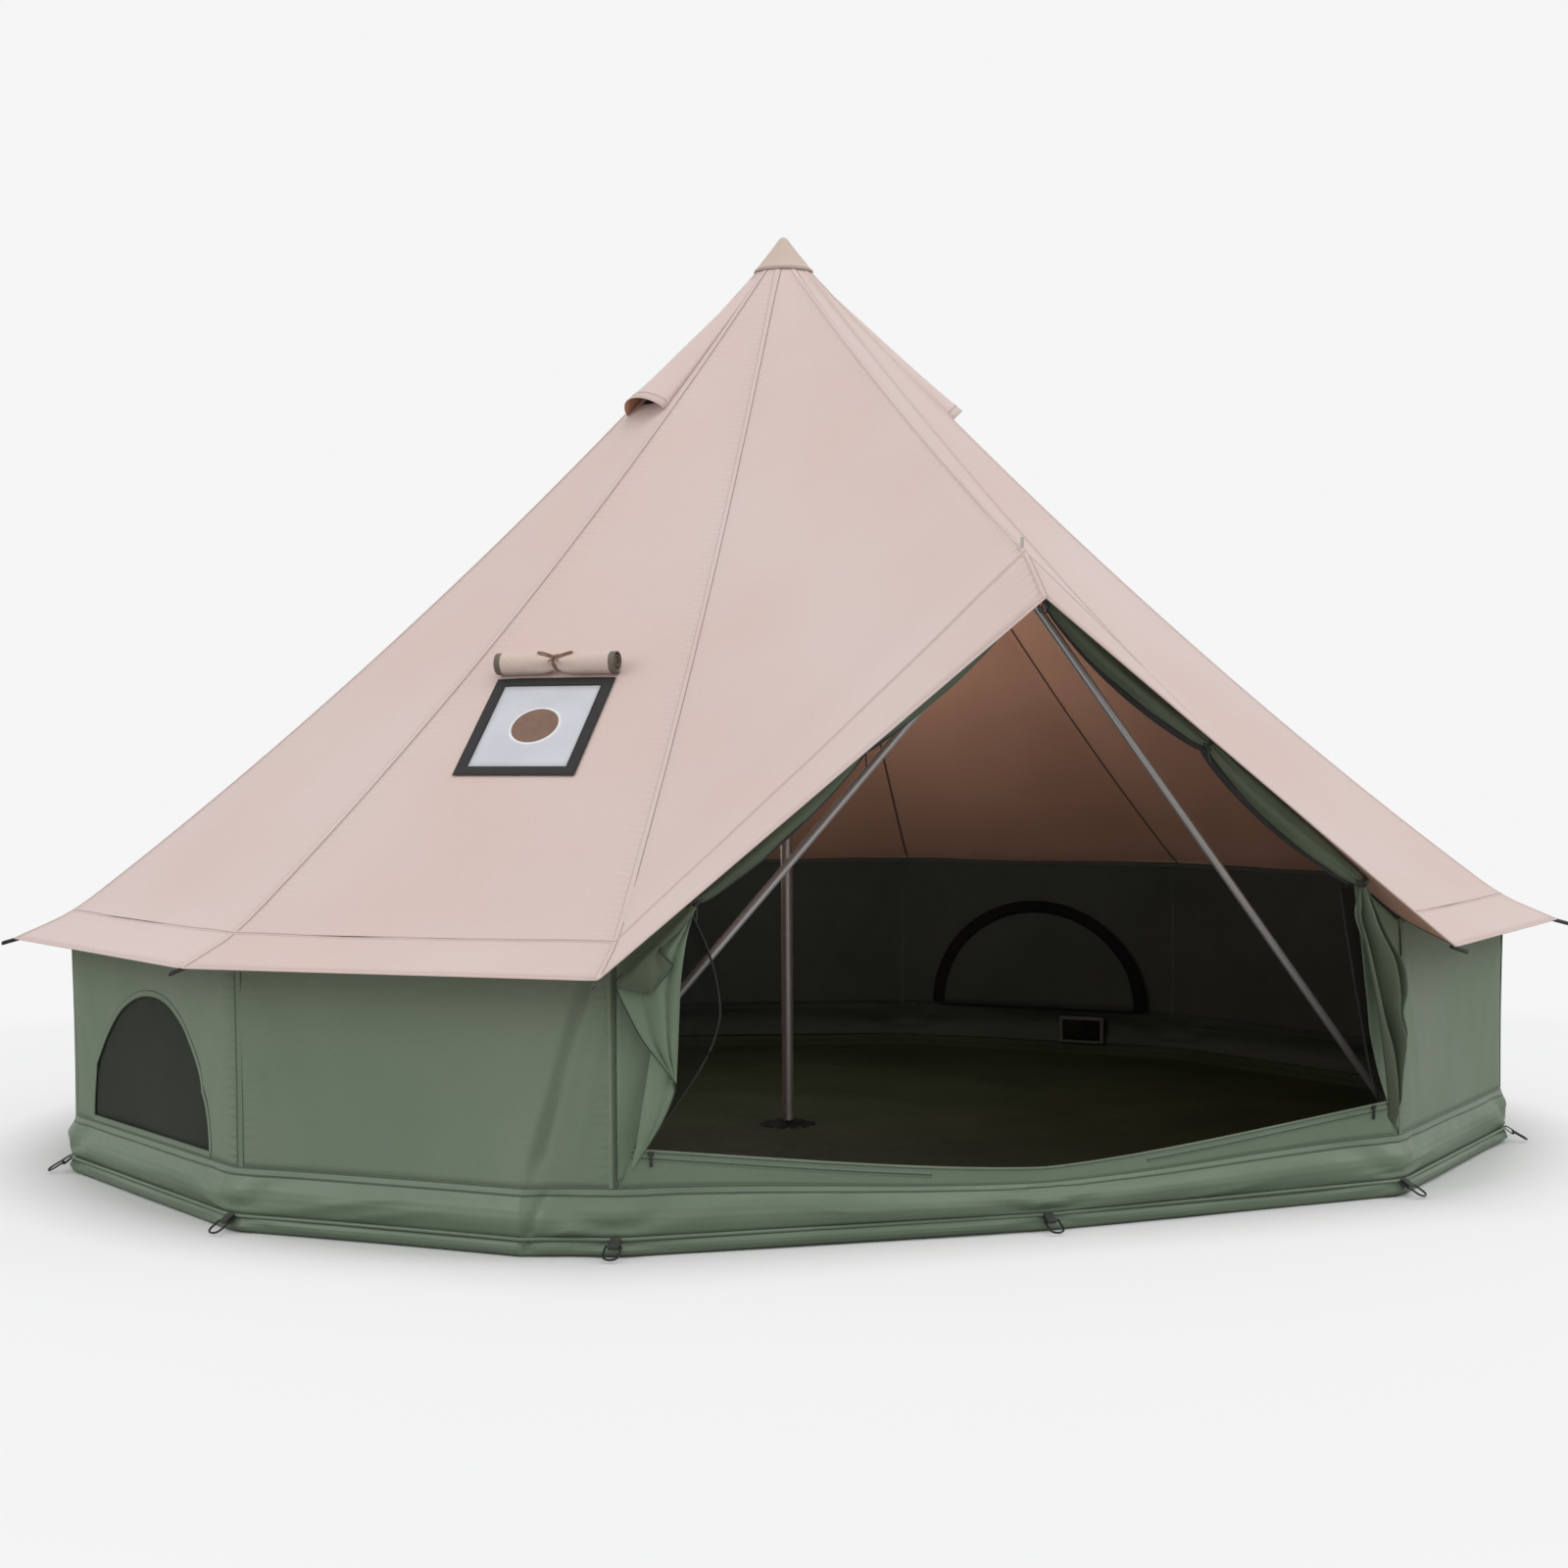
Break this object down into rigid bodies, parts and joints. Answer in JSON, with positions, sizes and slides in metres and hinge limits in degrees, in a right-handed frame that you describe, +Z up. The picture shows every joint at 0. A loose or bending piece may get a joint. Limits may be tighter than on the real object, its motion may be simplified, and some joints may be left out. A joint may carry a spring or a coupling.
{
  "type": "bell tent with stove jack",
  "caption": "Round bell tent with a pyramid canvas roof, upright walls, tub floor, porched doorway on an A-frame, centre pole and a stove jack in the roof.",
  "frame": {"origin": "on the ground under the centre pole, at the underside of the groundsheet", "axes": "+Z up along the centre pole; the door faces -Y; +X is to the right of someone who faces the door's side looking +Y"},
  "size_m": [4.3432, 3.9351, 2.54],
  "materials": {
    "roof_canvas": "matte cotton canvas",
    "cap_canvas": "matte doubled canvas",
    "wall_canvas": "matte canvas",
    "coated_skirt": "coated cloth, satin",
    "floor_sheet": "coated cloth, matte",
    "black_webbing": "woven, matte",
    "ring_steel": "blackened steel",
    "pole_steel": "satin steel",
    "heat_panel": "silvered heat-proof cloth",
    "screen_mesh": "insect mesh, matte"
  },
  "bodies": {
    "tent": {"roof_panel_01": "roof_canvas", "roof_panel_02": "roof_canvas", "roof_panel_03": "roof_canvas", "roof_panel_04": "roof_canvas", "roof_panel_05": "roof_canvas", "roof_panel_06": "roof_canvas", "roof_panel_07": "roof_canvas", "roof_panel_08": "roof_canvas", "roof_panel_09": "roof_canvas", "roof_panel_10": "roof_canvas", "porch_panel_left": "roof_canvas", "porch_panel_right": "roof_canvas", "apex_cap": "cap_canvas", "wall_panel_01": "wall_canvas", "wall_panel_02": "wall_canvas", "wall_panel_03": "wall_canvas", "wall_panel_04": "wall_canvas", "wall_panel_05": "wall_canvas", "wall_panel_06": "wall_canvas", "wall_panel_07": "wall_canvas", "wall_panel_08": "wall_canvas", "wall_panel_09": "wall_canvas", "wall_panel_10": "wall_canvas", "window_mesh_left": "screen_mesh", "window_mesh_right": "screen_mesh", "window_mesh_rear": "screen_mesh", "tub_skirt": "coated_skirt", "groundsheet_floor": "floor_sheet", "door_threshold": "coated_skirt", "peg_webbing": "black_webbing", "eave_binding": "black_webbing", "pole_lower": "pole_steel", "pole_upper": "pole_steel", "door_leg_left": "pole_steel", "door_leg_right": "pole_steel", "door_frame_bracket": "pole_steel", "stove_jack_frame": "black_webbing", "stove_jack_panel": "heat_panel", "vent_hood_left": "roof_canvas", "vent_hood_right": "roof_canvas", "cable_port": "black_webbing", "door_roll_left": "wall_canvas", "door_roll_right": "wall_canvas"},
    "ring_00": {"peg_ring_00": "ring_steel"},
    "ring_01": {"peg_ring_01": "ring_steel"},
    "ring_02": {"peg_ring_02": "ring_steel"},
    "ring_03": {"peg_ring_03": "ring_steel"},
    "ring_04": {"peg_ring_04": "ring_steel"},
    "ring_05": {"peg_ring_05": "ring_steel"},
    "ring_06": {"peg_ring_06": "ring_steel"},
    "ring_07": {"peg_ring_07": "ring_steel"},
    "ring_08": {"peg_ring_08": "ring_steel"},
    "ring_09": {"peg_ring_09": "ring_steel"},
    "ring_10": {"peg_ring_10": "ring_steel"},
    "ring_11": {"peg_ring_11": "ring_steel"},
    "drape_right": {"door_drape_right": "wall_canvas"},
    "drape_left": {"door_drape_left": "wall_canvas"},
    "zip_right": {"zip_slider_right": "ring_steel"},
    "zip_left": {"zip_slider_left": "ring_steel"},
    "stove_flap": {"stove_flap_roll": "roof_canvas"}
  },
  "joints": [
    {"name": "peg_ring_00_swing", "type": "hinge", "parent": "tent", "child": "ring_00", "pos_m": [0, -1.70412, 0.0285], "axis": [-1, 0, 0], "range_deg": [-4, 115]},
    {"name": "peg_ring_01_swing", "type": "hinge", "parent": "tent", "child": "ring_01", "pos_m": [0.99595, -1.62523, 0.0285], "axis": [-0.8526, -0.5225, 0], "range_deg": [-4, 115]},
    {"name": "peg_ring_02_swing", "type": "hinge", "parent": "tent", "child": "ring_02", "pos_m": [1.73198, -1.02021, 0.0285], "axis": [-0.5075, -0.8616, 0], "range_deg": [-4, 115]},
    {"name": "peg_ring_03_swing", "type": "hinge", "parent": "tent", "child": "ring_03", "pos_m": [2.00981, -0.03508, 0.0285], "axis": [-0.0174, -0.9998, 0], "range_deg": [-4, 115]},
    {"name": "peg_ring_04_swing", "type": "hinge", "parent": "tent", "child": "ring_04", "pos_m": [1.79103, 0.91258, 0.0285], "axis": [0.454, -0.891, 0], "range_deg": [-4, 115]},
    {"name": "peg_ring_05_swing", "type": "hinge", "parent": "tent", "child": "ring_05", "pos_m": [1.09479, 1.68583, 0.0285], "axis": [0.8387, -0.5446, 0], "range_deg": [-4, 115]},
    {"name": "peg_ring_06_swing", "type": "hinge", "parent": "tent", "child": "ring_06", "pos_m": [0, 2.01012, 0.0285], "axis": [1, 0, 0], "range_deg": [-4, 115]},
    {"name": "peg_ring_07_swing", "type": "hinge", "parent": "tent", "child": "ring_07", "pos_m": [-1.09479, 1.68583, 0.0285], "axis": [0.8387, 0.5446, 0], "range_deg": [-4, 115]},
    {"name": "peg_ring_08_swing", "type": "hinge", "parent": "tent", "child": "ring_08", "pos_m": [-1.79103, 0.91258, 0.0285], "axis": [0.454, 0.891, 0], "range_deg": [-4, 115]},
    {"name": "peg_ring_09_swing", "type": "hinge", "parent": "tent", "child": "ring_09", "pos_m": [-2.00981, -0.03508, 0.0285], "axis": [-0.0174, 0.9998, 0], "range_deg": [-4, 115]},
    {"name": "peg_ring_10_swing", "type": "hinge", "parent": "tent", "child": "ring_10", "pos_m": [-1.73198, -1.02021, 0.0285], "axis": [-0.5075, 0.8616, 0], "range_deg": [-4, 115]},
    {"name": "peg_ring_11_swing", "type": "hinge", "parent": "tent", "child": "ring_11", "pos_m": [-0.99595, -1.62523, 0.0285], "axis": [-0.8526, 0.5225, 0], "range_deg": [-4, 115]},
    {"name": "door_drape_right_swing", "type": "hinge", "parent": "tent", "child": "drape_right", "pos_m": [0.98399, -1.64941, 0.45], "axis": [0, 0, 1], "range_deg": [0, 13]},
    {"name": "door_drape_left_swing", "type": "hinge", "parent": "tent", "child": "drape_left", "pos_m": [-0.98399, -1.64941, 0.45], "axis": [0, 0, -1], "range_deg": [0, 13]},
    {"name": "zip_slider_right_run", "type": "slide", "parent": "tent", "child": "zip_right", "axis": [-0.9912, -0.0753, -0.109], "range_m": [0, 0.05]},
    {"name": "zip_slider_left_run", "type": "slide", "parent": "tent", "child": "zip_left", "axis": [0.9912, -0.0753, -0.109], "range_m": [0, 0.05]},
    {"name": "stove_flap_lift", "type": "hinge", "parent": "tent", "child": "stove_flap", "pos_m": [-0.89417, -0.81096, 1.26191], "axis": [0.7723, -0.6353, 0], "range_deg": [0, 90]}
  ]
}
